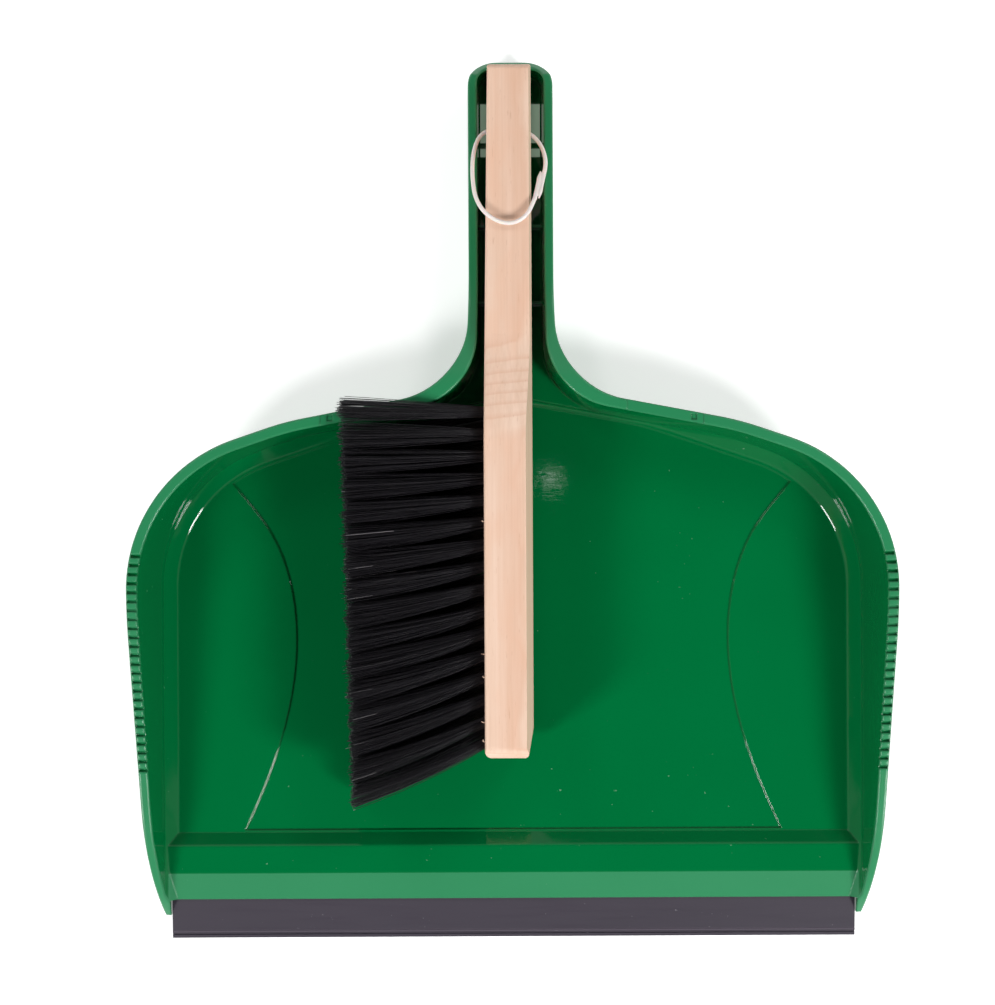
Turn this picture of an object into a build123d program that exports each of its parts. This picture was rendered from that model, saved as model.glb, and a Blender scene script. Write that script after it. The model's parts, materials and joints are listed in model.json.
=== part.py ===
from build123d import *
import os
from math import atan, cos, degrees, radians, sqrt, tan

# Dust pan and brush set. X across, +Y towards the handle's end, +Z up, millimetres.
# The origin is under the middle of the set's box, on the surface that it stands on.

# Half length of a block that is sure to reach past the whole set
CLEAR = 200.0

# Scoop cavity, given at two heights. Everything between and above follows in a straight line.
LOW_Z, HIGH_Z = 3.0, 42.0
SIDE_X = (149.0, 158.2)
BACK_Y = (47.2, 49.4)
BACK_SLOPE = 0.19
SHOULDER_X = 112.6
SHOULDER_Y = (22.6, 25.3)
SHOULDER_SLOPE = 0.34
SHOULDER_BEND_R = 120.0
APEX_R = 60.0
CORNER_R = 62.0
FRONT_CLEAR_Y = -205.0

# Crease where the floor turns into a sloping cove, which meets the walls at the channel floor's height
COVE_SIDE_X = 145.6
COVE_BACK_Y = 47.2
COVE_SHOULDER_Y = 17.6
COVE_CORNER_R = 57.0
COVE_ROUND = 1.6

# Channel handle
GRIP_HALF = (12.9, 15.0)
GRIP_END_Y = (185.7, 187.2)
GRIP_CORNER_R = (6.5, 8.5, 11.5)
JUNCTION_R = (31.0, 31.0, 34.0)
GRIP_BOTTOM_Z = 8.0
GRIP_FLOOR_Z = 10.0
GRIP_RIM_Z = 28.0
GRIP_DROP_Y, GRIP_TIP_Y, GRIP_TIP_Z = 183.6, 193.3, 17.5
GRIP_RIB_Y = (87.3, 120.3)
GRIP_RIB_TOP_Z, GRIP_RIB_THICK, GRIP_RIB_WIDE = 17.0, 1.2, 27.6
SLOT_WIDE = 25.8
SLOTS = ((165.5, 17.0), (152.8, 3.8))

# Walls, rim and floor
WALL = 2.0
FLANGE_LOW, FLANGE_GROWTH = 0.5, 0.05
FLANGE_THICK = 2.0
RIM_ROUND = 0.7
LOFT_TOP_Z = 46.0
SCOOP_RIM_Z = 42.0
WING_Z = 3.8
FLOOR_Z = 3.0
PLATE_BOTTOM_Z = 1.2
FOOT_WIDTH, FOOT_RIB = 3.0, 2.0
UNDER_RIB_X = 60.0
NOSE_Y, NOSE_Z, NOSE_INNER_X = -177.5, 3.0, 149.0
RIM_RISE_Y = (90.0, 54.0)
RIM_BREAK_Y, RIM_BREAK_Z = (-45.0, -128.0), 28.0
RIM_BENDS = (1.2, 60.0, 40.0, 150.0)
MARK_X, MARK_WIDE, MARK_DEEP = 64.6, 32.2, 0.35
DIMPLE_X, DIMPLE_Y, DIMPLE_SIZE = 76.6, 37.2, 2.4

# Wings: the arc that bounds the right one, from the crease to the ramp's foot
WING_ARC = ((127.0, 17.5), (122.4, 11.4), (105.4, -10.5), (93.9, -55.0), (101.3, -102.7), (116.6, -140.6))
RECESS_CLEAR = 1.8

# Front ramp and lip
STEP_FOOT_Y = -140.6
CREST_Y, CREST_Z = -146.8, 9.0
RAMP_BREAK_Y, RAMP_BREAK_Z = -158.6, 8.0
HOLDER_Y, HOLDER_Z = -170.5, 4.2
CREST_ROUNDS = (1.6, 6.0)
RAMP_HOLLOW = ((-144.2, -2.0), (-144.2, 3.4), (-148.0, 6.8), (-157.6, 6.0), (-159.5, 5.2), (-159.5, -2.0))
LIP_HALF = 148.6
LIP_ROOT_Y, LIP_TIP_Y = -164.5, -187.7
LIP_LOW_Z, LIP_HIGH_Z = 1.0, 3.0

# Comb
COMB_TEETH = 25
COMB_START_Y = -20.4
COMB_PITCH = 3.8
COMB_GAP = 1.25
COMB_ROUND = 0.6
COMB_DEPTH = 1.45
COMB_SKIRT = 0.7
COMB_OPEN = 1.5

# Brush
BRUSH_MID_Z = 30.0
STOCK_BACK_Y, STOCK_FRONT_Y = 185.7, -105.7
FACE_X = -11.9
STOCK_BACK_X = 8.5
HANDLE_FACE_X, HANDLE_BACK_X = -9.8, 8.5
SHOULDER_TOP_Y, SHOULDER_FOOT_Y = 72.0, 28.0
HANDLE_HALF, BLOCK_HALF = 13.0, 19.0
HANDLE_BEVEL, BLOCK_BEVEL, FACE_ROUND = 0.9, 2.8, 0.9
BEVEL_DROP, BEVEL_ROUND = 0.75, 0.5
GRIP_END_ROUND, GRIP_END_FALL = 1.3, 2.2
CHAMFER_X, CHAMFER_Y = 6.2, -92.5
HOLE_R, HOLE_DEPTH = 2.4, 12.0
TUFT_R, TUFT_SEAT = 2.3, 9.6
TUFTS = 16
TUFT_FIRST_Y, TUFT_PITCH = 39.4, 9.23
ROWS = 3
ROW_PITCH = 9.5
TIP_ROW_PITCH = 15.0
TIP_X = (-72.5, -68.3)
LAST_TIP_Y = -122.0
TIP_SAG, TIP_HALF_Z = 1.5, 6.6
# First tip's Y and half size along Y, for the top row and for the rows below it
TOP_TIP, LOW_TIP = (40.4, 5.1), (27.5, 4.7)
# The top row's first tufts rise over the pan's rim
RIM_TIP_Z = (51.5, 47.5, 45.0)
RIM_TIP_HALF = (4.2, 4.0)
HANG_Y = 158.5
HANG_R = 3.8

# Hanging cord
CORD_D = 1.75
CORD_ROUTE = (
    (14.3, 140.9, 37.7),
    (14.9, 144.2, 36.2),
    (14.5, 148.4, 34.5),
    (12.5, 153.9, 32.0),
    (7.6, 158.9, 30.3),
    (-0.7, 158.2, 29.9),
    (-8.9, 160.0, 30.0),
    (-13.2, 157.0, 31.6),
    (-15.3, 151.4, 34.2),
    (-16.2, 144.4, 37.3),
    (-16.0, 136.6, 40.6),
    (-14.9, 129.1, 43.7),
    (-11.1, 122.7, 45.7),
    (-5.0, 118.8, 45.9),
    (1.1, 118.2, 45.9),
    (6.5, 121.4, 45.6),
    (9.4, 127.2, 44.5),
    (10.2, 129.6, 43.4),
)
JOINT_ENDS = ((13.6, 141.4, 37.4), (10.9, 129.2, 43.6))
JOINT_WIDTH, JOINT_THICK = 3.5, 1.9


def at_height(pair, z):
    """Value at height z of a size that is known at LOW_Z and HIGH_Z."""
    return pair[0] + (pair[1] - pair[0]) * (z - LOW_Z) / (HIGH_Z - LOW_Z)


def overhang(z):
    """How far the rim flange stands out past the wall at height z."""
    return FLANGE_LOW + FLANGE_GROWTH * z


def walls(z, grow):
    """Side X, shoulder Y and back Y of the scoop's walls at height z, moved outwards by grow."""
    side = at_height(SIDE_X, z) + grow
    shoulder = at_height(SHOULDER_Y, z) + grow / cos(atan(SHOULDER_SLOPE))
    back = at_height(BACK_Y, z) + grow / cos(atan(BACK_SLOPE))
    return side, shoulder, back


def bends(side, shoulder, back):
    """X where the back line meets the shoulder line, and Y where that one meets the side."""
    bend_x = (shoulder + SHOULDER_SLOPE * SHOULDER_X - back) / (SHOULDER_SLOPE - BACK_SLOPE)
    corner_y = shoulder - SHOULDER_SLOPE * (side - SHOULDER_X)
    return bend_x, corner_y


def mirrored(points):
    """The points, then their mirror images across the YZ plane in reverse order."""
    return list(points) + [(-x, y) for x, y in reversed(points)]


def closed_wire(points, radii, z):
    """Flat closed wire at height z: a rounded line through the points, closed at the front."""
    lifted = [(x, y, z) for x, y in points]
    line = FilletPolyline(*lifted, radius=radii)
    front = Line(lifted[-1], lifted[0])
    return Wire([*line.edges(), *front.edges()])


def scoop_line(side, shoulder, back, corner_r, z):
    """Closed outline of the scoop, with the back wall running straight past the handle."""
    bend_x, corner_y = bends(side, shoulder, back)
    right = [(side, FRONT_CLEAR_Y), (side, corner_y), (bend_x, back - BACK_SLOPE * bend_x)]
    left = [(-x, y) for x, y in reversed(right)]
    radii = [corner_r, SHOULDER_BEND_R, APEX_R]
    return closed_wire(right + [(0, back)] + left, radii + radii[1::-1], z)


def scoop_wire(z, grow):
    """Outline of the scoop's walls at height z, moved outwards by grow."""
    side, shoulder, back = walls(z, grow)
    return scoop_line(side, shoulder, back, CORNER_R + grow, z)


def crease_wire(z, inset):
    """Outline of the crease at the floor's edge, moved inwards by inset."""
    return scoop_line(
        COVE_SIDE_X - inset, COVE_SHOULDER_Y - inset, COVE_BACK_Y - inset, COVE_CORNER_R - inset, z
    )


def whole_wire(z, grow, layer):
    """Outline of the scoop with the channel handle, for the layer 0 cavity, 1 wall, 2 flange."""
    side, shoulder, back = walls(z, grow)
    bend_x, corner_y = bends(side, shoulder, back)
    grip = at_height(GRIP_HALF, z) + grow
    end_y = at_height(GRIP_END_Y, z) + grow
    right = [
        (side, FRONT_CLEAR_Y),
        (side, corner_y),
        (bend_x, back - BACK_SLOPE * bend_x),
        (grip, back - BACK_SLOPE * grip),
        (grip, end_y),
    ]
    radii = [CORNER_R + grow, SHOULDER_BEND_R, JUNCTION_R[layer], GRIP_CORNER_R[layer]]
    return closed_wire(mirrored(right), radii + radii[::-1], z)


def stack(low_z, step_z, low_grow, step_grow, top_grow, layer):
    """Scoop from low_z up to step_z, then scoop and handle from there to the top."""
    lower = Solid.make_loft([scoop_wire(low_z, low_grow), scoop_wire(step_z, step_grow)], True)
    upper_wires = [whole_wire(step_z, step_grow, layer), whole_wire(LOFT_TOP_Z, top_grow, layer)]
    return lower, Solid.make_loft(upper_wires, True)


def extrude_x(profile, half):
    """Solid between -half and +half in X of a closed line of edges in the YZ plane."""
    face = make_face(profile)
    return extrude(face, amount=half, dir=(1, 0, 0), both=True)


def yz(points):
    """Points in the YZ plane."""
    return [(0, y, z) for y, z in points]


def below_rim():
    """Everything under the rim's side profile, from the handle's end to the nose."""
    rim = FilletPolyline(
        *yz([(GRIP_TIP_Y, GRIP_TIP_Z), (GRIP_DROP_Y, GRIP_RIM_Z), (RIM_RISE_Y[0], GRIP_RIM_Z),
             (RIM_RISE_Y[1], SCOOP_RIM_Z), (RIM_BREAK_Y[0], SCOOP_RIM_Z), (RIM_BREAK_Y[1], RIM_BREAK_Z)]),
        radius=RIM_BENDS,
    )
    nose = TangentArc(rim @ 1, (0, NOSE_Y, NOSE_Z), tangent=rim % 1)
    low_z = -5
    base = Polyline(*yz([(NOSE_Y, NOSE_Z), (NOSE_Y, low_z), (GRIP_TIP_Y, low_z), (GRIP_TIP_Y, GRIP_TIP_Z)]))
    return extrude_x([*rim.edges(), *nose.edges(), *base.edges()], CLEAR)


def rim_fall():
    """Drop of the side rims per millimetre towards the front, along their straight slope."""
    return (SCOOP_RIM_Z - RIM_BREAK_Z) / (RIM_BREAK_Y[0] - RIM_BREAK_Y[1])


def rim_z(y):
    """Height of the scoop's side rim at y."""
    return SCOOP_RIM_Z + min(y - RIM_BREAK_Y[0], 0) * rim_fall()


def side_x(y, z):
    """X of the cavity's right wall at y and z, along the corner arc and the straight side."""
    side, shoulder, back = walls(z, 0)
    _, corner_y = bends(side, shoulder, back)
    turn = radians(90) - atan(SHOULDER_SLOPE)
    centre_y = corner_y - CORNER_R * tan(turn / 2)
    if y < centre_y:
        return side
    return side - CORNER_R + sqrt(CORNER_R**2 - (y - centre_y) ** 2)


def rim_edges(body, below):
    """Edges along the rim's top: those that border just one of the faces up there."""
    skin = below.faces()
    tops = [
        face
        for face in body.faces()
        if face.normal_at().Z > 0.15
        and face.center().Z > NOSE_Z + 1
        and all(min(side.distance_to(v) for side in skin) < 1e-3 for v in face.vertices())
    ]
    seen = {}
    for face in tops:
        for edge in face.edges():
            place = edge @ 0.5
            key = (round(place.X, 2), round(place.Y, 2), round(place.Z, 2))
            seen.setdefault(key, []).append(edge)
    return ShapeList([edges[0] for edges in seen.values() if len(edges) == 1])


def comb_gap(length):
    """Cutter for one gap: upright sides below, and rounded off towards the teeth's tops."""
    half, deep, high = COMB_GAP / 2, -COMB_DEPTH, 3.0
    mouth = half + COMB_ROUND
    right = TangentArc((0, half, -COMB_ROUND), (0, mouth, 0), tangent=(0, 0, 1))
    left = TangentArc((0, -mouth, 0), (0, -half, -COMB_ROUND), tangent=(0, 1, 0))
    top = Polyline((0, mouth, 0), (0, mouth, high), (0, -mouth, high), (0, -mouth, 0))
    base = Polyline((0, -half, -COMB_ROUND), (0, -half, deep), (0, half, deep), (0, half, -COMB_ROUND))
    return extrude_x([*right.edges(), *top.edges(), *left.edges(), *base.edges()], length / 2)


def comb_gaps():
    """The gaps between the comb's teeth, sunk in both side rims and open towards the scoop."""
    gaps = []
    for n in range(COMB_TEETH):
        y = COMB_START_Y - n * COMB_PITCH
        z = rim_z(y)
        tilt = degrees(atan(rim_fall())) if y < RIM_BREAK_Y[0] else 0
        inner = side_x(y, z) - COMB_OPEN
        outer = side_x(y, z) + WALL + overhang(z) - COMB_SKIRT
        gap = Rot(tilt, 0, 0) * comb_gap(outer - inner)
        for side in (-1, 1):
            gaps.append(Pos(side * (inner + outer) / 2, y, z) * gap)
    return gaps


def rim_marks():
    """Shallow stretch in the back rim on each side, with one square dimple beside its end."""
    marks = []
    stretch = Box(MARK_WIDE, 24, 2)
    dimple = Box(DIMPLE_SIZE, DIMPLE_SIZE, 2)
    for side in (-1, 1):
        marks.append(Pos(side * MARK_X, at_height(BACK_Y, HIGH_Z) - 9.4, SCOOP_RIM_Z + 1 - MARK_DEEP) * stretch)
        marks.append(Pos(side * DIMPLE_X, DIMPLE_Y, SCOOP_RIM_Z) * dimple)
    return marks


def floor_recess():
    """The middle of the floor, a little lower than the wing at each side."""
    right = Spline(*[(x, y, FLOOR_Z) for x, y in WING_ARC])
    left = Spline(*[(-x, y, FLOOR_Z) for x, y in WING_ARC])
    front = Line(left @ 1, right @ 1)
    back = Polyline(right @ 0, (WING_ARC[0][0], CLEAR, FLOOR_Z), (-WING_ARC[0][0], CLEAR, FLOOR_Z), left @ 0)
    face = make_face([*right.edges(), *left.edges(), *back.edges(), *front.edges()])
    middle = extrude(face, amount=GRIP_FLOOR_Z, dir=(0, 0, 1))
    inside = Solid.make_loft([crease_wire(FLOOR_Z, RECESS_CLEAR), crease_wire(WING_Z, RECESS_CLEAR)], True)
    return middle & inside


def ramp():
    """Solid front ramp: a step that faces the floor, a crest, and two slopes to the lip."""
    line = FilletPolyline(
        *yz([(STEP_FOOT_Y, FLOOR_Z), (CREST_Y, CREST_Z), (RAMP_BREAK_Y, RAMP_BREAK_Z),
             (HOLDER_Y, HOLDER_Z)]),
        radius=CREST_ROUNDS,
    )
    base = Polyline(*yz([(HOLDER_Y, HOLDER_Z), (HOLDER_Y, 0), (STEP_FOOT_Y, 0), (STEP_FOOT_Y, FLOOR_Z)]))
    return extrude_x([*line.edges(), *base.edges()], CLEAR)


def underside():
    """Hollows under the floor plate and the ramp, with two stiffening ribs left between."""
    wires = [scoop_wire(-2, -FOOT_WIDTH), scoop_wire(PLATE_BOTTOM_Z, -FOOT_WIDTH)]
    behind_step = Box(2 * CLEAR, 2 * abs(STEP_FOOT_Y) - 2 * FOOT_RIB, 20)
    hollow = Solid.make_loft(wires, True) & behind_step
    for x in (-UNDER_RIB_X, UNDER_RIB_X):
        hollow = hollow - Pos(x, STEP_FOOT_Y / 2, 0) * Box(FOOT_RIB, CLEAR, 20)
    under_ramp = Polyline(*yz(RAMP_HOLLOW), close=True)
    return [hollow, extrude_x(under_ramp.edges(), SIDE_X[0] - FOOT_WIDTH)]


def pan_body():
    """The green moulding: scoop, rim, comb, ramp, lip holder and channel handle."""
    top_flange = WALL + overhang(LOFT_TOP_Z)
    step_flange = WALL + overhang(GRIP_BOTTOM_Z)
    wall_low, wall_high = stack(0, GRIP_BOTTOM_Z, WALL, WALL, WALL, 1)
    rim_low, rim_high = stack(0, GRIP_BOTTOM_Z, WALL + overhang(0), step_flange, top_flange, 2)
    _, channel = stack(WING_Z, GRIP_FLOOR_Z, 0, 0, 0, 0)
    pit = Solid.make_loft([crease_wire(WING_Z, 0), scoop_wire(GRIP_FLOOR_Z, 0)], True)
    bottom_edges = pit.edges().filter_by_position(Axis.Z, WING_Z - 0.01, WING_Z + 0.01)
    pit = fillet(bottom_edges.sort_by(Axis.Y)[1:], COVE_ROUND)

    below = below_rim()
    slab = below - Pos(0, 0, -FLANGE_THICK) * below
    body = ((wall_low + wall_high) & below) + ((rim_low + rim_high) & slab)
    body = body - (pit + channel)
    nose_gap = 40.0
    body = body - Pos(0, HOLDER_Y - nose_gap / 2, 0) * Box(2 * NOSE_INNER_X, nose_gap, 100)
    body = fillet(rim_edges(body, below), RIM_ROUND)
    body = body + (ramp() & (wall_low + wall_high))
    body = body - floor_recess()
    rib_high = GRIP_RIB_TOP_Z - GRIP_FLOOR_Z + 1
    for y in GRIP_RIB_Y:
        rib = Box(GRIP_RIB_WIDE, GRIP_RIB_THICK, rib_high)
        body = body + Pos(0, y, GRIP_RIB_TOP_Z - rib_high / 2) * rib
    cuts = [*underside(), *comb_gaps(), *rim_marks()]
    cuts.extend(Pos(0, y, GRIP_FLOOR_Z) * Box(SLOT_WIDE, long, 4 * WALL) for y, long in SLOTS)
    seat_deep = 10.0
    lip_slot = Box(2 * LIP_HALF, seat_deep, LIP_HIGH_Z - LIP_LOW_Z)
    cuts.append(Pos(0, LIP_ROOT_Y - seat_deep / 2, (LIP_HIGH_Z + LIP_LOW_Z) / 2) * lip_slot)
    return body - cuts


def rubber_lip():
    """Soft strip that touches the floor, with a fine groove near its front edge."""
    profile = Polyline(
        *yz([(LIP_ROOT_Y, LIP_LOW_Z), (LIP_ROOT_Y, LIP_HIGH_Z), (HOLDER_Y, LIP_HIGH_Z),
             (-184.4, 1.9), (-184.7, 2.1), (-185.3, 2.05), (-185.5, 1.3), (-186.2, 1.25),
             (-186.4, 1.7), (LIP_TIP_Y, 1.4), (LIP_TIP_Y, 0), (-181.0, 0), (HOLDER_Y - 0.6, LIP_LOW_Z)]),
        close=True,
    )
    return extrude_x(profile.edges(), LIP_HALF)


def stock_section(y):
    """Cross-section of the stock at y: a rectangle, bevelled at the back and rounded at the face."""
    share = min(max((SHOULDER_TOP_Y - y) / (SHOULDER_TOP_Y - SHOULDER_FOOT_Y), 0), 1)
    share = share * share * (3 - 2 * share)
    taper = min((STOCK_BACK_Y - y) / (STOCK_BACK_Y - SHOULDER_FOOT_Y), 1)
    half = HANDLE_HALF + (BLOCK_HALF - HANDLE_HALF) * share
    face_x = HANDLE_FACE_X + (FACE_X - HANDLE_FACE_X) * taper
    back_x = HANDLE_BACK_X + (STOCK_BACK_X - HANDLE_BACK_X) * share
    bevel = HANDLE_BEVEL + (BLOCK_BEVEL - HANDLE_BEVEL) * share
    drop = BEVEL_DROP * bevel
    soft = BEVEL_ROUND * (0.4 + 0.6 * share)
    low, high = BRUSH_MID_Z - half, BRUSH_MID_Z + half
    corners = [
        (face_x, y, low),
        (back_x - bevel, y, low),
        (back_x, y, low + drop),
        (back_x, y, high - drop),
        (back_x - bevel, y, high),
        (face_x, y, high),
    ]
    radii = [FACE_ROUND, soft, soft, soft, soft, FACE_ROUND]
    return Wire(FilletPolyline(*corners, radius=radii, close=True).edges())


def stock_bounds():
    """Two prisms that round the stock's ends, one seen from above and one from the side."""
    wide, tall, end_y, grip_y, block_y = 30, 60, 176, 100, -60
    plan = FilletPolyline(
        (-wide, end_y), (HANDLE_FACE_X - 0.1, end_y), (HANDLE_FACE_X, STOCK_BACK_Y),
        (HANDLE_BACK_X, STOCK_BACK_Y), (HANDLE_BACK_X, end_y), (wide, end_y), (wide, block_y),
        (STOCK_BACK_X, block_y), (STOCK_BACK_X, CHAMFER_Y), (CHAMFER_X, STOCK_FRONT_Y),
        (FACE_X, STOCK_FRONT_Y), (FACE_X, block_y), (-wide, block_y),
        radius=[0, 0, GRIP_END_ROUND, GRIP_END_ROUND, 0, 0, 0, 0, 8, 2, 3.4, 0, 0], close=True,
    )
    low, high = BRUSH_MID_Z - HANDLE_HALF, BRUSH_MID_Z + HANDLE_HALF
    wide_low, wide_high = BRUSH_MID_Z - BLOCK_HALF, BRUSH_MID_Z + BLOCK_HALF
    side = FilletPolyline(
        *yz([(STOCK_BACK_Y, low), (STOCK_BACK_Y, high), (grip_y, high), (grip_y, tall), (block_y, tall),
             (block_y, wide_high), (STOCK_FRONT_Y, wide_high), (STOCK_FRONT_Y, wide_low),
             (block_y, wide_low), (block_y, 0), (grip_y, 0), (grip_y, low)]),
        radius=[GRIP_END_FALL, GRIP_END_FALL, 0, 0, 0, 0, 5, 5, 0, 0, 0, 0], close=True,
    )
    return extrude(make_face(plan.edges()), amount=tall), extrude_x(side.edges(), wide)


def stock():
    """Beech handle and block in one piece, with its long edges and its ends rounded."""
    steps = 8
    rise = (SHOULDER_FOOT_Y - SHOULDER_TOP_Y) / steps
    grip = [stock_section(STOCK_BACK_Y), stock_section(SHOULDER_TOP_Y)]
    shoulder = [stock_section(SHOULDER_TOP_Y + n * rise) for n in range(steps + 1)]
    block = [stock_section(SHOULDER_FOOT_Y), stock_section(STOCK_FRONT_Y)]
    body = Solid.make_loft(grip, True) + Solid.make_loft(shoulder, False) + Solid.make_loft(block, True)
    plan, side = stock_bounds()
    return body & plan & side


def tuft_places():
    """Row, number, base and tip point of each tuft, with the tip's half sizes; the middle row is offset."""
    for row in range(ROWS):
        level = row - (ROWS - 1) / 2
        offset = row % 2 / 2
        for n in range(TUFTS - row % 2):
            along = (n + offset) / (TUFTS - 1)
            base_y = TUFT_FIRST_Y - (n + offset) * TUFT_PITCH
            base = (FACE_X, base_y, BRUSH_MID_Z + level * ROW_PITCH)
            top_row = row == ROWS - 1
            first_tip, half_y = TOP_TIP if top_row else LOW_TIP
            tip_y = first_tip + (LAST_TIP_Y - first_tip) * along
            tip_x = TIP_X[0] + (TIP_X[1] - TIP_X[0]) * along
            tip_z, half_z = BRUSH_MID_Z - TIP_SAG + level * TIP_ROW_PITCH, TIP_HALF_Z
            if top_row and n < len(RIM_TIP_Z):
                tip_z = RIM_TIP_Z[n]
            if top_row and n == 0:
                half_y, half_z = RIM_TIP_HALF
            yield row, n, base, (tip_x, tip_y, tip_z), half_y, half_z


def across_plane(point):
    """Plane at the point whose normal is -X, so its own axes are Y and Z of the set."""
    return Plane(origin=point, x_dir=(0, 1, 0), z_dir=(1, 0, 0))


def tuft(base, tip, half_y, half_z):
    """One tuft: the bundled stretch in its hole, then a flare to an oval tip."""
    seat = (base[0] + TUFT_SEAT, base[1], base[2])
    bundle = Solid.extrude(Face(across_plane(base) * Wire.make_circle(TUFT_R)), Vector(TUFT_SEAT, 0, 0))
    root = across_plane(base) * Wire.make_circle(TUFT_R)
    end = across_plane(tip) * Wire.make_ellipse(half_y, half_z)
    return bundle + Solid.make_loft([root, end], True)


def cord_wire():
    """Route of the cord: straight runs joined by arcs as large as the runs allow."""
    points = [Vector(*p) for p in CORD_ROUTE]
    radii = []
    for before, here, after in zip(points, points[1:], points[2:]):
        run_in, run_out = here - before, after - here
        turn = radians(run_in.get_angle(run_out))
        radii.append(0.45 * min(run_in.length, run_out.length) / tan(turn / 2))
    print("cord radii", [round(r, 1) for r in radii])
    return FilletPolyline(*points, radius=radii)


def hang_cord():
    """The cord as one round tube from one side of the joint to the other."""
    route = cord_wire()
    section = Plane(origin=route @ 0, z_dir=route % 0) * Circle(CORD_D / 2)
    tube = sweep(section, path=Wire(route.edges()))
    expected = route.length * section.area
    print("cord length", round(route.length, 1), "volume", round(tube.volume, 1), "of", round(expected, 1))
    return tube


def cord_joint():
    """The lap where the two ends lie side by side, fused into one flat piece."""
    start, end = Vector(*JOINT_ENDS[0]), Vector(*JOINT_ENDS[1])
    along = end - start
    plane = Plane(origin=start, x_dir=along.cross(Vector(0, 0, 1)), z_dir=along)
    lap = extrude(plane * SlotOverall(JOINT_WIDTH, JOINT_THICK), amount=along.length)
    return lap


def anchors(row):
    """Flat wire staples at the bottom of one row of tuft holes."""
    x = FACE_X + TUFT_SEAT + 1.15
    places = [base for r, _, base, _, _, _ in tuft_places() if r == row]
    return Compound([Pos(x, base[1], base[2]) * Box(2.0, 4.4, 0.5) for base in places])


def drilled(body):
    """The stock with its tuft holes and its hanging hole."""
    holes = []
    for _, _, base, _, _, _ in tuft_places():
        centre = Pos(FACE_X + HOLE_DEPTH / 2 - 0.5, base[1], base[2])
        holes.append(centre * Rot(0, 90, 0) * Cylinder(HOLE_R, HOLE_DEPTH + 1))
    holes.append(Pos(0, HANG_Y, BRUSH_MID_Z) * Rot(0, 90, 0) * Cylinder(HANG_R, 60))
    return body - holes


def main():
    os.makedirs("parts", exist_ok=True)
    pieces = {
        "pan_body": pan_body(),
        "rubber_lip": rubber_lip(),
        "brush_stock": drilled(stock()),
        "hang_cord": hang_cord(),
        "cord_joint": cord_joint(),
    }
    for row in range(ROWS):
        pieces[f"anchors_row_{row + 1}"] = anchors(row)
    for row, n, base, tip, half_y, half_z in tuft_places():
        pieces[f"tuft_r{row + 1}_{n + 1:02d}"] = tuft(base, tip, half_y, half_z)
    for name, piece in pieces.items():
        export_step(piece, f"parts/{name}.step")


main()
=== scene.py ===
import json
import math
import random

import bpy
import numpy as np
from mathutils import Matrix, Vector


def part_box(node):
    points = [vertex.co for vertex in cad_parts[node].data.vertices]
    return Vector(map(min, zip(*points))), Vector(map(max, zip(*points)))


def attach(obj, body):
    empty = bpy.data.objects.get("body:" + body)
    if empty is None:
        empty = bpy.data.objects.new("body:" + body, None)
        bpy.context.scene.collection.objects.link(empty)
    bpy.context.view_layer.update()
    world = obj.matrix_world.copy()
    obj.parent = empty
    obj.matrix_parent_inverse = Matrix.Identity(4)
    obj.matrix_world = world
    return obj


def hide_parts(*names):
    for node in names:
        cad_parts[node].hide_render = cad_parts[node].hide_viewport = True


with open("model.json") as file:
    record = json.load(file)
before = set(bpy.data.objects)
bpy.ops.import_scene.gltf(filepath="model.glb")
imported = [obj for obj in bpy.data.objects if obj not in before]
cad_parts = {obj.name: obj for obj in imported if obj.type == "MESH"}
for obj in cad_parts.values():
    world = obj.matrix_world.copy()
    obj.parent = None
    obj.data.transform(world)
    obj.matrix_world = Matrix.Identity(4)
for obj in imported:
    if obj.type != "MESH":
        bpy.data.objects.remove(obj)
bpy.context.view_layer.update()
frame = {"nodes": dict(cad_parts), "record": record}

# Sizes are in metres; MM turns millimetres into them.
MM = 0.001

# Camera: straight above the set, with the set turned by a fraction of a degree in the picture.
CAMERA_PLACE = (-6.2 * MM, 1.5 * MM, 1.1)
CAMERA_TURN = math.radians(-0.27)
SENSOR_WIDTH = 36.0
RIM_HEIGHT = 0.042
FIELD_WIDTH = 0.4179

# Hanging cord: the same route as the CAD tube.
CORD_D = 1.75 * MM
CORD_ROUTE = (
    (14.3, 140.9, 37.7),
    (14.9, 144.2, 36.2),
    (14.5, 148.4, 34.5),
    (12.5, 153.9, 32.0),
    (7.6, 158.9, 30.3),
    (-0.7, 158.2, 29.9),
    (-8.9, 160.0, 30.0),
    (-13.2, 157.0, 31.6),
    (-15.3, 151.4, 34.2),
    (-16.2, 144.4, 37.3),
    (-16.0, 136.6, 40.6),
    (-14.9, 129.1, 43.7),
    (-11.1, 122.7, 45.7),
    (-5.0, 118.8, 45.9),
    (1.1, 118.2, 45.9),
    (6.5, 121.4, 45.6),
    (9.4, 127.2, 44.5),
    (10.2, 129.6, 43.4),
)
JOINT_ENDS = ((13.6, 141.4, 37.4), (10.9, 129.2, 43.6))

# Bristles: FAN_POWER under 1 spreads a tuft early, FAN_WIDE is its tip size against the CAD tuft's
TOP_ROW = 3
FILAMENTS = 140
FILAMENT_R = 0.155 * MM
FILAMENT_STEPS = 9
FAN_POWER = 0.8
FAN_WIDE_Y, FAN_WIDE_Z = 1.12, 1.1
BOW = 0.30
TIP_SCATTER = 0.10
# Share of top-row filaments painted pale, standing in for highlights on them.
PALE_SHARE = 0.02

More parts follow.
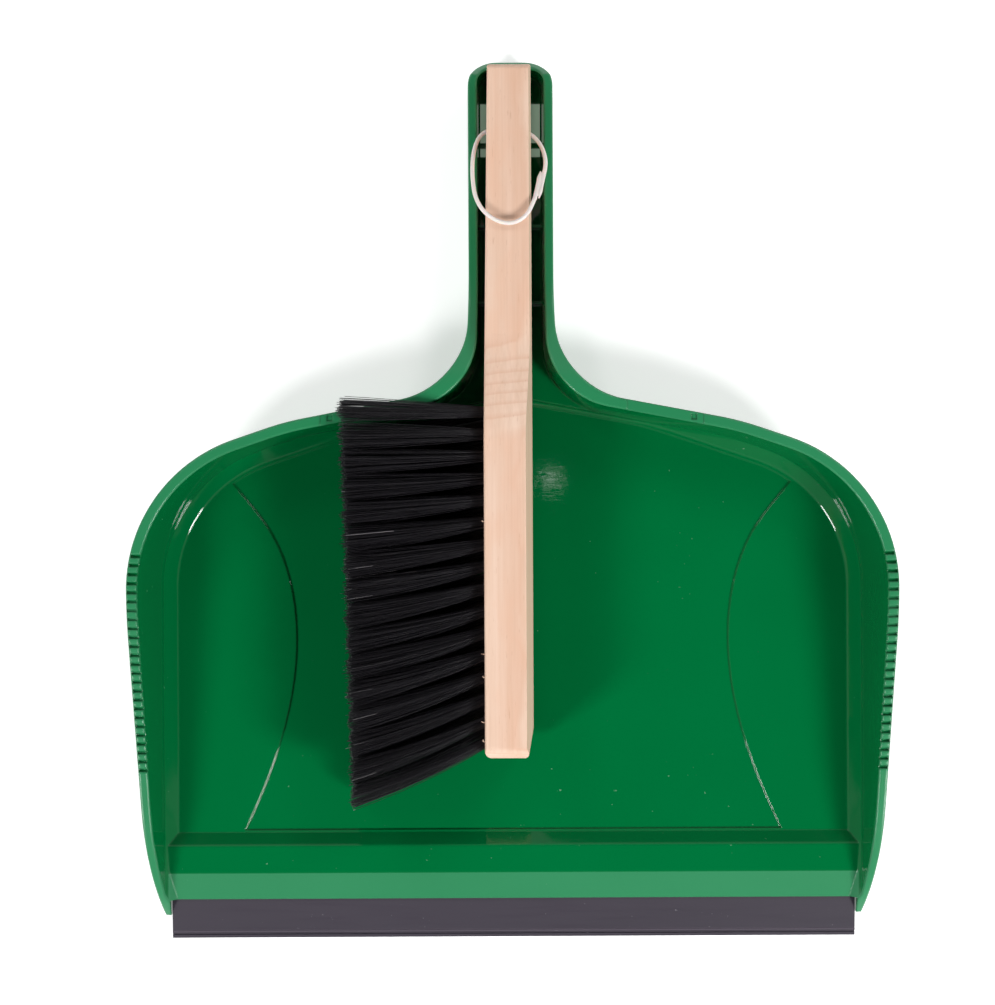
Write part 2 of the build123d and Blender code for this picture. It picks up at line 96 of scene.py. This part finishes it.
# Stage: softboxes are name, place, size and power, and all face the origin
SOFTBOXES = (
    ("softbox_right", (1.05, -0.85, 1.15), (0.3, 0.45), 21),
    ("softbox_left", (-1.05, -0.85, 1.15), (0.3, 0.45), 16),
    ("softbox_back_right", (0.85, 1.0, 1.4), (0.45, 0.45), 5),
    ("softbox_back_left", (-0.85, 1.0, 1.4), (0.45, 0.45), 4),
)
GLINT_PLACE, GLINT_TARGET = (0.0405, 0.021, 1.1), (0.017, 0.011, 0)
GLINT_SIZE, GLINT_POWER = (0.010, 0.010), 0.002
SKY_FADE = {"From Min": 0.72, "From Max": 0.93, "To Min": 0.38, "To Max": 0.005}
TABLE_HALF, TABLE_STEPS, TABLE_Z = 1.6, 8, -0.05 * MM
# The board's glow is painted light that lifts the shadows on it; SLOT_SHADE bounds a painted dark patch
# under the handle's slots.
TABLE_GLOW = 0.46
SLOT_SHADE_Y = (0.138, 0.182)
SLOT_SHADE_X = (0.015, 0.019)


# ---------------------------------------------------------------- small helpers


def new_object(name, data, body=None):
    """Links an object for the data, and lets it ride on a body."""
    obj = bpy.data.objects.new(name, data)
    bpy.context.scene.collection.objects.link(obj)
    if body:
        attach(obj, body)
    return obj


def mesh_from(name, verts, faces, smooth=True):
    """Mesh from points and faces."""
    mesh = bpy.data.meshes.new(name)
    mesh.from_pydata([tuple(v) for v in verts], [], [tuple(f) for f in faces])
    mesh.validate()
    mesh.polygons.foreach_set("use_smooth", [smooth] * len(mesh.polygons))
    mesh.update()
    return mesh


def srgb(r, g, b):
    """Linear colour of an 0-255 screen colour."""
    def one(c):
        c = c / 255
        return c / 12.92 if c <= 0.04045 else ((c + 0.055) / 1.055) ** 2.4
    return (one(r), one(g), one(b), 1.0)


class Shader:
    """A node material under construction, with short calls for the nodes used here."""

    def __init__(self, name):
        self.material = bpy.data.materials.new(name)
        self.material.use_nodes = True
        self.tree = self.material.node_tree
        self.bsdf = self.tree.nodes["Principled BSDF"]
        self.coords = self.tree.nodes.new("ShaderNodeTexCoord").outputs["Object"]

    def put(self, socket, value):
        if isinstance(value, bpy.types.NodeSocket):
            self.tree.links.new(value, socket)
        else:
            socket.default_value = value

    def node(self, kind, values=(), **settings):
        node = self.tree.nodes.new(kind)
        for key, value in settings.items():
            setattr(node, key, value)
        for key, value in dict(values).items():
            self.put(node.inputs[key], value)
        return node

    def math(self, operation, a, b=0.0):
        return self.node("ShaderNodeMath", {0: a, 1: b}, operation=operation).outputs[0]

    def scaled(self, factors):
        return self.node("ShaderNodeMapping", {"Vector": self.coords, "Scale": factors}).outputs[0]

    def noise(self, factors, scale, detail=3.0, roughness=0.5, distortion=0.0):
        values = {"Vector": self.scaled(factors), "Scale": scale, "Detail": detail,
                  "Roughness": roughness, "Distortion": distortion}
        return self.node("ShaderNodeTexNoise", values).outputs["Fac"]

    def ramp(self, value, low, high, out_low=0.0, out_high=1.0):
        values = {"Value": value, "From Min": low, "From Max": high,
                  "To Min": out_low, "To Max": out_high}
        return self.node("ShaderNodeMapRange", values, clamp=True).outputs["Result"]

    def mix(self, fac, a, b, blend="MIX"):
        node = self.node("ShaderNodeMix", data_type="RGBA", blend_type=blend)
        self.put(node.inputs["Factor"], fac)
        self.put(node.inputs[6], a)
        self.put(node.inputs[7], b)
        return node.outputs[2]

    def axes(self):
        parts = self.node("ShaderNodeSeparateXYZ", {0: self.coords})
        return parts.outputs

    def band(self, value, low, high, soft):
        rising = self.ramp(value, low - soft, low + soft)
        falling = self.ramp(value, high - soft, high + soft, 1.0, 0.0)
        return self.math("MULTIPLY", rising, falling)

    def rounded(self, radius):
        """Normal with the corners softened over a radius, as moulded edges are."""
        return self.node("ShaderNodeBevel", {"Radius": radius}, samples=6).outputs[0]

    def bump(self, height, strength, distance, normal=None):
        values = {"Height": height, "Strength": strength, "Distance": distance}
        if normal:
            values["Normal"] = normal
        return self.node("ShaderNodeBump", values).outputs[0]


def paint(obj, material):
    """Gives an object one material."""
    obj.data.materials.clear()
    obj.data.materials.append(material)


# ---------------------------------------------------------------- materials


def rim_heights():
    """Points along Y with the height of the pan's rim there."""
    return (
        (-0.190, 0.003), (-0.1775, 0.003), (-0.170, 0.0094), (-0.156, 0.0183), (-0.142, 0.0244),
        (-0.128, 0.028), (-0.059, 0.0393), (-0.045, 0.0414), (-0.031, 0.042), (0.047, 0.042),
        (0.054, 0.0412), (0.062, 0.0388), (0.079, 0.0325), (0.090, 0.0288), (0.101, 0.028),
        (0.1832, 0.028), (0.190, 0.0211),
    )


def pan_plastic():
    """Green glossy moulding whose rim and lip holder are rougher and paler, the paler green being partly
    painted sheen; fine scuffs and specks of dust.
    """
    s = Shader("pan_plastic")
    x, y, z = s.axes()
    low_y, span, height_span = -0.2, 0.4, 0.05
    curve = s.node("ShaderNodeFloatCurve", {"Value": s.ramp(y, low_y, low_y + span)})
    points = curve.mapping.curves[0].points
    heights = [((py - low_y) / span, pz / height_span) for py, pz in rim_heights()]
    points[0].location = heights[0]
    points[1].location = heights[-1]
    for place in heights[1:-1]:
        points.new(*place)
    for point in points:
        point.handle_type = "VECTOR"
    curve.mapping.update()
    rim_z = s.math("MULTIPLY", curve.outputs[0], height_span)
    rim = s.ramp(s.math("SUBTRACT", z, rim_z), -1.5 * MM, -0.9 * MM)
    holder = s.band(y, -0.1706, -0.1588, 0.15 * MM)
    holder = s.math("MULTIPLY", holder, s.ramp(z, 3.6 * MM, 4.0 * MM))
    side_clear = s.ramp(s.math("ABSOLUTE", x), 0.1494, 0.1498, 1.0, 0.0)
    holder = s.math("MULTIPLY", holder, side_clear)
    # Rim and lip holder: a rougher finish, and a paler green that is partly painted sheen.
    satin_and_sheen = s.math("MAXIMUM", rim, holder)

    cloud = s.noise((1, 1, 1), 14, 2)
    deep = s.mix(cloud, srgb(0, 101, 50), srgb(0, 109, 56))
    # Paler green for rim and holder, standing in partly for sheen (painted sheen).
    pale = s.mix(cloud, srgb(32, 122, 76), srgb(42, 131, 85))
    colour = s.mix(satin_and_sheen, deep, pale)
    speck = s.ramp(s.noise((1, 1, 1), 520, 2), 0.76, 0.80)
    colour = s.mix(s.math("MULTIPLY", speck, 0.35), colour, srgb(150, 190, 165))

    scuff = s.noise((40, 600, 600), 1.0, 5, 0.65, 0.6)
    gloss = s.ramp(scuff, 0.35, 0.75, 0.03, 0.06)
    s.put(s.bsdf.inputs["Base Color"], colour)
    s.put(s.bsdf.inputs["Roughness"], s.math("ADD", gloss, s.math("MULTIPLY", satin_and_sheen, 0.26)))
    s.put(s.bsdf.inputs["Specular IOR Level"], 0.5)
    grain = s.math("ADD", s.noise((1, 1, 1), 260, 3), s.math("MULTIPLY", scuff, 0.6))
    s.put(s.bsdf.inputs["Normal"], s.bump(grain, 0.04, 0.3 * MM, s.rounded(1.1 * MM)))
    return s.material


def lip_rubber():
    """Dark grey soft rubber with painted sheen, a paler strip before its groove, and fine dust."""
    s = Shader("lip_rubber")
    y = s.axes()[1]
    cloud = s.noise((8, 60, 60), 1.0, 4)
    colour = s.mix(cloud, srgb(40, 34, 46), srgb(52, 45, 58))
    # Painted sheen: a paler strip just before the groove.
    painted_sheen_strip = s.band(y, -0.1853, -0.1843, 0.1 * MM)
    colour = s.mix(s.math("MULTIPLY", painted_sheen_strip, 0.8), colour, srgb(72, 64, 76))
    speck = s.ramp(s.noise((1, 1, 1), 700, 2), 0.74, 0.79)
    colour = s.mix(s.math("MULTIPLY", speck, 0.3), colour, srgb(170, 165, 172))
    s.put(s.bsdf.inputs["Base Color"], colour)
    s.put(s.bsdf.inputs["Roughness"], s.ramp(s.noise((30, 400, 400), 1.0, 4), 0.3, 0.7, 0.48, 0.62))
    s.put(s.bsdf.inputs["Normal"], s.bump(s.noise((60, 500, 500), 1.0, 4), 0.12, 0.2 * MM))
    return s.material


def beech():
    """Pale beech: flat growth layers that run out on the shoulder, straight fibres, short flecks, and
    painted shade on the upper long bevel that faces +X.
    """
    s = Shader("beech")
    x, _, z = s.axes()
    wander = s.noise((60, 26, 60), 1.0, 3, 0.55)
    depth = s.math("DIVIDE", s.math("ADD", z, s.math("MULTIPLY", x, 0.02)), 0.85 * MM)
    layer = s.math("FRACT", s.math("ADD", depth, s.math("MULTIPLY", wander, 0.4)))
    late = s.math("MULTIPLY", s.ramp(layer, 0.55, 0.9), s.ramp(layer, 0.9, 1.0, 1.0, 0.0))
    fibre = s.noise((1000, 14, 1000), 1.0, 5, 0.65)
    coarse = s.noise((330, 9, 330), 1.0, 4, 0.6)
    patch = s.noise((60, 22, 60), 1.0, 4, 0.6)
    fleck = s.ramp(s.noise((1500, 150, 1500), 1.0, 2, 0.5), 0.66, 0.74)
    # Painted shade: a duller, darker tone on the upper long bevel that faces +X.
    facing = s.node("ShaderNodeSeparateXYZ", {0: s.node("ShaderNodeNewGeometry").outputs["Normal"]})
    painted_bevel_shade = s.math("MULTIPLY", s.band(facing.outputs[0], 0.35, 0.85, 0.1), s.ramp(z, 0.040, 0.042))

    colour = s.mix(s.ramp(coarse, 0.3, 0.7), srgb(229, 200, 180), srgb(219, 186, 163))
    colour = s.mix(s.ramp(patch, 0.45, 0.72, 0.0, 0.6), colour, srgb(226, 180, 152))
    colour = s.mix(s.math("MULTIPLY", late, 0.36), colour, srgb(206, 154, 124))
    colour = s.mix(s.ramp(fibre, 0.45, 0.72, 0.0, 0.30), colour, srgb(202, 164, 138))
    colour = s.mix(s.math("MULTIPLY", fleck, 0.25), colour, srgb(174, 126, 98))
    colour = s.mix(s.math("MULTIPLY", painted_bevel_shade, 0.7), colour, srgb(168, 152, 124))
    s.put(s.bsdf.inputs["Base Color"], colour)
    s.put(s.bsdf.inputs["Roughness"], s.ramp(fibre, 0.3, 0.7, 0.5, 0.66))
    s.put(s.bsdf.inputs["Specular IOR Level"], 0.35)
    relief = s.math("ADD", s.math("MULTIPLY", fibre, 0.7), s.math("MULTIPLY", fleck, -0.5))
    s.put(s.bsdf.inputs["Normal"], s.bump(relief, 0.12, 0.2 * MM))
    return s.material


def bristle(name, dark, light, rough):
    """Smooth filament with slow changes of tone along its length."""
    s = Shader(name)
    tone = s.noise((160, 900, 900), 1.0, 3)
    colour = s.mix(tone, dark, light)
    s.put(s.bsdf.inputs["Base Color"], colour)
    s.put(s.bsdf.inputs["Roughness"], s.ramp(tone, 0.3, 0.7, rough, rough + 0.12))
    s.put(s.bsdf.inputs["Specular IOR Level"], 0.5)
    return s.material


def cord_white():
    """Smooth white soft plastic with faint handling marks."""
    s = Shader("cord_white")
    mark = s.noise((1, 1, 1), 900, 3)
    s.put(s.bsdf.inputs["Base Color"], s.mix(mark, srgb(238, 230, 226), srgb(228, 217, 211)))
    s.put(s.bsdf.inputs["Roughness"], s.ramp(mark, 0.3, 0.7, 0.32, 0.46))
    s.put(s.bsdf.inputs["Subsurface Weight"], 0.15)
    s.put(s.bsdf.inputs["Subsurface Scale"], 0.8 * MM)
    s.put(s.bsdf.inputs["Normal"], s.bump(mark, 0.08, 0.1 * MM))
    return s.material


def anchor_steel():
    """Drawn flat wire."""
    s = Shader("anchor_steel")
    draw = s.noise((60, 3000, 3000), 1.0, 3)
    s.put(s.bsdf.inputs["Base Color"], s.mix(draw, srgb(170, 170, 175), srgb(205, 205, 208)))
    s.put(s.bsdf.inputs["Metallic"], 1.0)
    s.put(s.bsdf.inputs["Roughness"], s.ramp(draw, 0.3, 0.7, 0.28, 0.42))
    return s.material


def table_white():
    """Plain pale board that glows a little, as painted light that lifts the shadows cast on it, with
    painted shade under the handle's slots: a dark greenish patch that does not glow.
    """
    s = Shader("table_white")
    cloud = s.noise((1, 1, 1), 6, 2)
    board = s.mix(cloud, (0.93, 0.93, 0.93, 1), (0.95, 0.95, 0.95, 1))
    s.put(s.bsdf.inputs["Roughness"], 0.7)
    s.put(s.bsdf.inputs["Specular IOR Level"], 0.2)
    s.put(s.bsdf.inputs["Emission Color"], (1, 1, 1, 1))
    x, y, _ = s.axes()
    # Painted shade: a dark greenish patch without glow where the handle's slots look down onto the
    # board.
    across = s.ramp(s.math("ABSOLUTE", x), *SLOT_SHADE_X, 1.0, 0.0)
    painted_slot_shade = s.math("MULTIPLY", s.band(y, *SLOT_SHADE_Y, 4 * MM), across)
    s.put(s.bsdf.inputs["Base Color"], s.mix(painted_slot_shade, board, (0.22, 0.30, 0.22, 1)))
    s.put(s.bsdf.inputs["Emission Strength"], s.ramp(painted_slot_shade, 0.0, 1.0, TABLE_GLOW, 0.0))
    return s.material


# ---------------------------------------------------------------- stage


def make_camera():
    """Camera above the set."""
    data = bpy.data.cameras.new("camera")
    data.sensor_fit = "HORIZONTAL"
    data.sensor_width = SENSOR_WIDTH
    data.lens = SENSOR_WIDTH * (CAMERA_PLACE[2] - RIM_HEIGHT) / FIELD_WIDTH
    camera = new_object("camera", data)
    camera.location = CAMERA_PLACE
    camera.rotation_euler = (0, 0, CAMERA_TURN)
    bpy.context.scene.camera = camera


def area_light(name, place, target, size, power):
    """Soft rectangular light at place, facing target."""
    data = bpy.data.lights.new(name, "AREA")
    data.shape = "RECTANGLE"
    data.size, data.size_y = size
    data.energy = power
    light = new_object(name, data)
    light.location = place
    aim = Vector(target) - Vector(place)
    light.rotation_euler = aim.to_track_quat("-Z", "Y").to_euler()


def make_sky():
    """Even light from the sides that fades out overhead, where the camera hangs."""
    world = bpy.data.worlds.new("studio")
    world.use_nodes = True
    tree = world.node_tree
    background = tree.nodes["Background"]
    background.inputs["Color"].default_value = (1, 1, 1, 1)
    coords = tree.nodes.new("ShaderNodeTexCoord")
    parts = tree.nodes.new("ShaderNodeSeparateXYZ")
    fade = tree.nodes.new("ShaderNodeMapRange")
    fade.interpolation_type = "SMOOTHSTEP"
    for key, value in SKY_FADE.items():
        fade.inputs[key].default_value = value
    tree.links.new(coords.outputs["Generated"], parts.inputs[0])
    tree.links.new(parts.outputs["Z"], fade.inputs["Value"])
    tree.links.new(fade.outputs["Result"], background.inputs["Strength"])
    bpy.context.scene.world = world


def make_lights():
    """Softboxes beyond the four corners, the front ones stronger, and a glint beside the camera."""
    for name, place, size, power in SOFTBOXES:
        area_light(name, place, (0, 0, 0), size, power)
    area_light("lens_glint", GLINT_PLACE, GLINT_TARGET, GLINT_SIZE, GLINT_POWER)
    make_sky()
    bpy.context.scene.view_settings.view_transform = "Standard"


def make_table():
    """Large sheet of plain board under the set."""
    steps = TABLE_STEPS
    verts, faces = [], []
    for i in range(steps + 1):
        for j in range(steps + 1):
            verts.append((TABLE_HALF * (2 * i / steps - 1), TABLE_HALF * (2 * j / steps - 1), TABLE_Z))
    for i in range(steps):
        for j in range(steps):
            a = i * (steps + 1) + j
            faces.append((a, a + steps + 1, a + steps + 2, a + 1))
    table = new_object("table", mesh_from("table", verts, faces))
    paint(table, table_white())


# ---------------------------------------------------------------- hanging cord


def make_cord(material):
    """The loop: one NURBS line with a round section."""
    data = bpy.data.curves.new("hang_cord_line", "CURVE")
    data.dimensions = "3D"
    spline = data.splines.new("NURBS")
    spline.points.add(len(CORD_ROUTE) - 1)
    for point, place in zip(spline.points, CORD_ROUTE):
        point.co = (*(c * MM for c in place), 1)
        point.radius = CORD_D / 2
    spline.order_u = 3
    spline.use_endpoint_u = True
    spline.resolution_u = 16
    data.bevel_depth = 1.0
    data.bevel_resolution = 6
    data.use_fill_caps = True
    cord = new_object("hanging_loop", data, "loop")
    data.materials.append(material)
    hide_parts("hang_cord")
    return cord


def tube(path, radii, sides, flat=1.0):
    """Closed tube along a path, with a radius at each point; flat squeezes it from above."""
    path = [Vector(p) for p in path]
    verts, faces = [], []
    up = Vector((0, 0, 1))
    for i, here in enumerate(path):
        ahead = path[min(i + 1, len(path) - 1)] - path[max(i - 1, 0)]
        ahead.normalize()
        side = ahead.cross(up).normalized()
        lift = side.cross(ahead).normalized()
        for k in range(sides):
            angle = 2 * math.pi * k / sides
            out = side * (radii[i] * math.cos(angle))
            verts.append(here + out + lift * (flat * radii[i] * math.sin(angle)))
    for i in range(len(path) - 1):
        for k in range(sides):
            a, b = i * sides + k, i * sides + (k + 1) % sides
            faces.append((a, b, b + sides, a + sides))
    faces.append(tuple(range(sides))[::-1])
    faces.append(tuple(range((len(path) - 1) * sides, len(path) * sides)))
    return verts, faces


def merged(parts):
    """One list of points and faces from several."""
    verts, faces = [], []
    for part_verts, part_faces in parts:
        start = len(verts)
        verts.extend(part_verts)
        faces.extend(tuple(start + i for i in face) for face in part_faces)
    return verts, faces


def remeshed(obj, voxel, smooth_steps):
    """Fuses the object's closed shells into one skin and smooths it."""
    remesh = obj.modifiers.new("fuse", "REMESH")
    remesh.mode = "VOXEL"
    remesh.voxel_size = voxel
    remesh.use_smooth_shade = True
    relax = obj.modifiers.new("relax", "SMOOTH")
    relax.iterations = smooth_steps
    relax.factor = 0.5
    bpy.context.view_layer.update()
    evaluated = obj.evaluated_get(bpy.context.evaluated_depsgraph_get())
    mesh = bpy.data.meshes.new_from_object(evaluated)
    obj.modifiers.clear()
    obj.data = mesh
    mesh.polygons.foreach_set("use_smooth", [True] * len(mesh.polygons))


def make_cord_joint(material):
    """The lap: two cord ends side by side, pressed a little flat and fused."""
    top, low = (Vector(end) * MM for end in JOINT_ENDS)
    along = (low - top).normalized()
    across = along.cross(Vector((0, 0, 1))).normalized()
    reach = (low - top).length
    r = CORD_D / 2

    def strand(start, stop, offset_start, offset_stop, taper_at_start):
        path, radii = [], []
        steps = 16
        for i in range(steps + 1):
            t = i / steps
            where = start + (stop - start) * t
            ease = t * t * (3 - 2 * t)
            offset = offset_start + (offset_stop - offset_start) * ease
            path.append(top + along * (reach * where) + across * (offset * r))
            end = t if taper_at_start else 1 - t
            radii.append(r * min(1.0, 0.3 + 3.2 * end) * (1 + 0.05 * math.sin(9 * t)))
        return tube(path, radii, 20, 0.92)

    parts = [
        strand(-0.07, 1.00, -0.80, -1.00, False),
        strand(0.04, 1.07, 1.00, 0.85, True),
        tube([top + along * (reach * w) for w in (0.12, 0.2, 0.3, 0.45, 0.6, 0.75, 0.86)],
             [r * k for k in (0.5, 0.8, 0.95, 1.0, 0.95, 0.8, 0.5)], 20, 0.8),
    ]
    joint = new_object("cord_lap_joint", mesh_from("cord_lap_joint", *merged(parts)))
    remeshed(joint, 0.16 * MM, 3)
    paint(joint, material)
    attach(joint, "loop")
    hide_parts("cord_joint")
    return joint


# ---------------------------------------------------------------- bristles


def tuft_shape(node):
    """Root centre, tip centre and tip half sizes of a CAD tuft, read from its ends."""
    obj = frame["nodes"][node]
    points = np.zeros(len(obj.data.vertices) * 3)
    obj.data.vertices.foreach_get("co", points)
    points = points.reshape(-1, 3)
    tips = points[points[:, 0] < points[:, 0].min() + 0.05 * MM]
    roots = points[points[:, 0] > points[:, 0].max() - 0.05 * MM]
    root = (roots.max(0) + roots.min(0)) / 2
    tip = (tips.max(0) + tips.min(0)) / 2
    half = (tips.max(0) - tips.min(0)) / 2
    root_r = (roots[:, 1].max() - roots[:, 1].min()) / 2
    return root, tip, half, root_r


def filament_lines(node, face_x, rng, count):
    """Points along each filament of a tuft: bundled at the hole, then fanning out to the tip."""
    root, tip, half, root_r = tuft_shape(node)
    t = np.concatenate([[0], np.linspace(0.02, 0.985, FILAMENT_STEPS - 2), [1]])
    angle = rng.uniform(0, 2 * math.pi, count)
    radius = np.sqrt(rng.uniform(0, 1, count))
    disc = np.stack([radius * np.cos(angle), radius * np.sin(angle)], 1)
    tip_disc = disc + rng.normal(0, TIP_SCATTER, (count, 2))
    length = 1 + rng.normal(0, 0.012, count) - 0.03 * radius**2
    start_x = face_x + 1.5 * MM
    drop = tip[1] - root[1]
    lines = np.zeros((count, FILAMENT_STEPS, 3))
    along = t[None, :] * length[:, None]
    fan = along**FAN_POWER
    bow = BOW * along * (1 - along)
    lines[:, :, 0] = start_x + (tip[0] - start_x) * along
    lines[:, :, 1] = root[1] + drop * (along + bow)
    lines[:, :, 2] = root[2] + (tip[2] - root[2]) * along
    packed = root_r * 0.9 * (1 - fan)
    for axis, wide in ((1, FAN_WIDE_Y), (2, FAN_WIDE_Z)):
        spread = packed * disc[:, None, axis - 1] + wide * half[axis] * fan * tip_disc[:, None, axis - 1]
        lines[:, :, axis] += spread
    phase = rng.uniform(0, 2 * math.pi, (count, 1))
    pace = rng.uniform(2.0, 5.5, (count, 1))
    size = rng.uniform(0.05, 0.40, (count, 1)) * MM
    lines[:, :, 1] += size * along * np.sin(pace * along + phase)
    lines[:, :, 2] += size * along * np.cos(pace * along + phase)
    return lines


def filament_mesh(name, lines, thickness, pale_share, rng):
    """Three-sided closed tubes along the lines; a few take the pale material towards their tips."""
    count, steps = lines.shape[:2]
    ahead = np.gradient(lines, axis=1)
    ahead /= np.linalg.norm(ahead, axis=2, keepdims=True)
    up = np.array([0.0, 0.0, 1.0])
    side = np.cross(ahead, up)
    side /= np.linalg.norm(side, axis=2, keepdims=True)
    lift = np.cross(side, ahead)
    taper = np.linspace(1.0, 0.75, steps)[None, :, None] * thickness[:, None, None]
    rings = []
    for k in range(3):
        a = 2 * math.pi * k / 3 + math.pi / 2
        rings.append(lines + taper * (math.cos(a) * side + math.sin(a) * lift))
    verts = np.stack(rings, 2).reshape(-1, 3)
    base = (np.arange(count) * steps * 3)[:, None, None]
    step = (np.arange(steps - 1) * 3)[None, :, None]
    corner = np.arange(3)[None, None, :]
    a = base + step + corner
    b = base + step + (corner + 1) % 3
    quads = np.stack([a, b, b + 3, a + 3], 3).reshape(-1, 4)
    ends = np.concatenate([
        base[:, 0, 0][:, None] + np.array([[0, 2, 1]]),
        base[:, 0, 0][:, None] + (steps - 1) * 3 + np.array([[0, 1, 2]]),
    ])
    faces = [tuple(int(i) for i in q) for q in quads] + [tuple(int(i) for i in e) for e in ends]
    mesh = mesh_from(name, verts, faces)
    pale = rng.uniform(0, 1, count) < pale_share
    outer = np.arange(steps - 1) >= rng.integers(steps // 2, steps - 1, (count, 1))
    per_quad = np.repeat((pale[:, None] & outer).ravel(), 3)
    per_end = np.concatenate([np.zeros_like(pale), pale])
    mesh.polygons.foreach_set("material_index", np.concatenate([per_quad, per_end]).astype(np.int32))
    return mesh


def make_tufts(dark, pale):
    """Every tuft as its own bundle of filaments, a few in the top row pale as painted highlights."""
    face_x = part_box("brush_stock")[0].x
    nodes = sorted(name for name in frame["nodes"] if name.startswith("tuft_"))
    for seed, node in enumerate(nodes):
        rng = np.random.default_rng(1000 + seed)
        lines = filament_lines(node, face_x, rng, FILAMENTS)
        thickness = FILAMENT_R * rng.uniform(0.85, 1.2, FILAMENTS)
        share = PALE_SHARE if node.startswith(f"tuft_r{TOP_ROW}") else 0.0
        mesh = filament_mesh("bristles", lines, thickness, share, rng)
        mesh.materials.append(dark)
        mesh.materials.append(pale)
        tuft = new_object(node.replace("tuft", "bristles"), mesh, "brush")
        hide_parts(node)


def make_chips(material):
    """Small curled wood fibres left at the mouths of a few tuft holes."""
    rng = random.Random(7)
    low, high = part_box("brush_stock")
    face_x = low.x
    for number, y in enumerate((-6.5, -62.0, -71.5, -90.5, -98.5)):
        size = rng.uniform(0.7, 1.5) * MM
        start = Vector((face_x - 0.05 * MM, y * MM, high.z - rng.uniform(0.8, 3.0) * MM))
        path, radii = [], []
        turn = rng.uniform(0.6, 2.4)
        for i in range(9):
            t = i / 8
            bend = turn * t
            reach = size * math.sin(bend) / turn * 1.4
            path.append(start + Vector((-reach, size * (1 - math.cos(bend)) / turn, size * 0.35 * t)))
            radii.append((0.24 - 0.15 * t) * MM * rng.uniform(0.85, 1.1))
        mesh = mesh_from("wood_fibre", *tube(path, radii, 8, 0.4))
        chip = new_object(f"wood_fibre_{number + 1}", mesh, "brush")
        paint(chip, material)


# ---------------------------------------------------------------- assembly


def finish_nodes(materials):
    """Gives each CAD node that stays in view its material."""
    slots = {part["node"]: part["material_slot"] for part in frame["record"]["subparts"]}
    for name, obj in frame["nodes"].items():
        paint(obj, materials[slots[name]])


make_camera()
cord_material = cord_white()
loop = make_cord(cord_material)
lap = make_cord_joint(cord_material)
make_table()
make_lights()
wood = beech()
black = bristle("bristle", srgb(9, 7, 12), srgb(20, 16, 25), 0.36)
# Painted highlight: pale grey filaments stand in for light caught by a few top-row bristles.
grey = bristle("bristle_painted_highlight", srgb(96, 92, 98), srgb(150, 146, 148), 0.4)
finish_nodes({
    "pan_plastic": pan_plastic(),
    "lip_rubber": lip_rubber(),
    "beech": wood,
    "bristle": black,
    "cord_white": cord_material,
    "anchor_steel": anchor_steel(),
})
make_tufts(black, grey)
make_chips(wood)
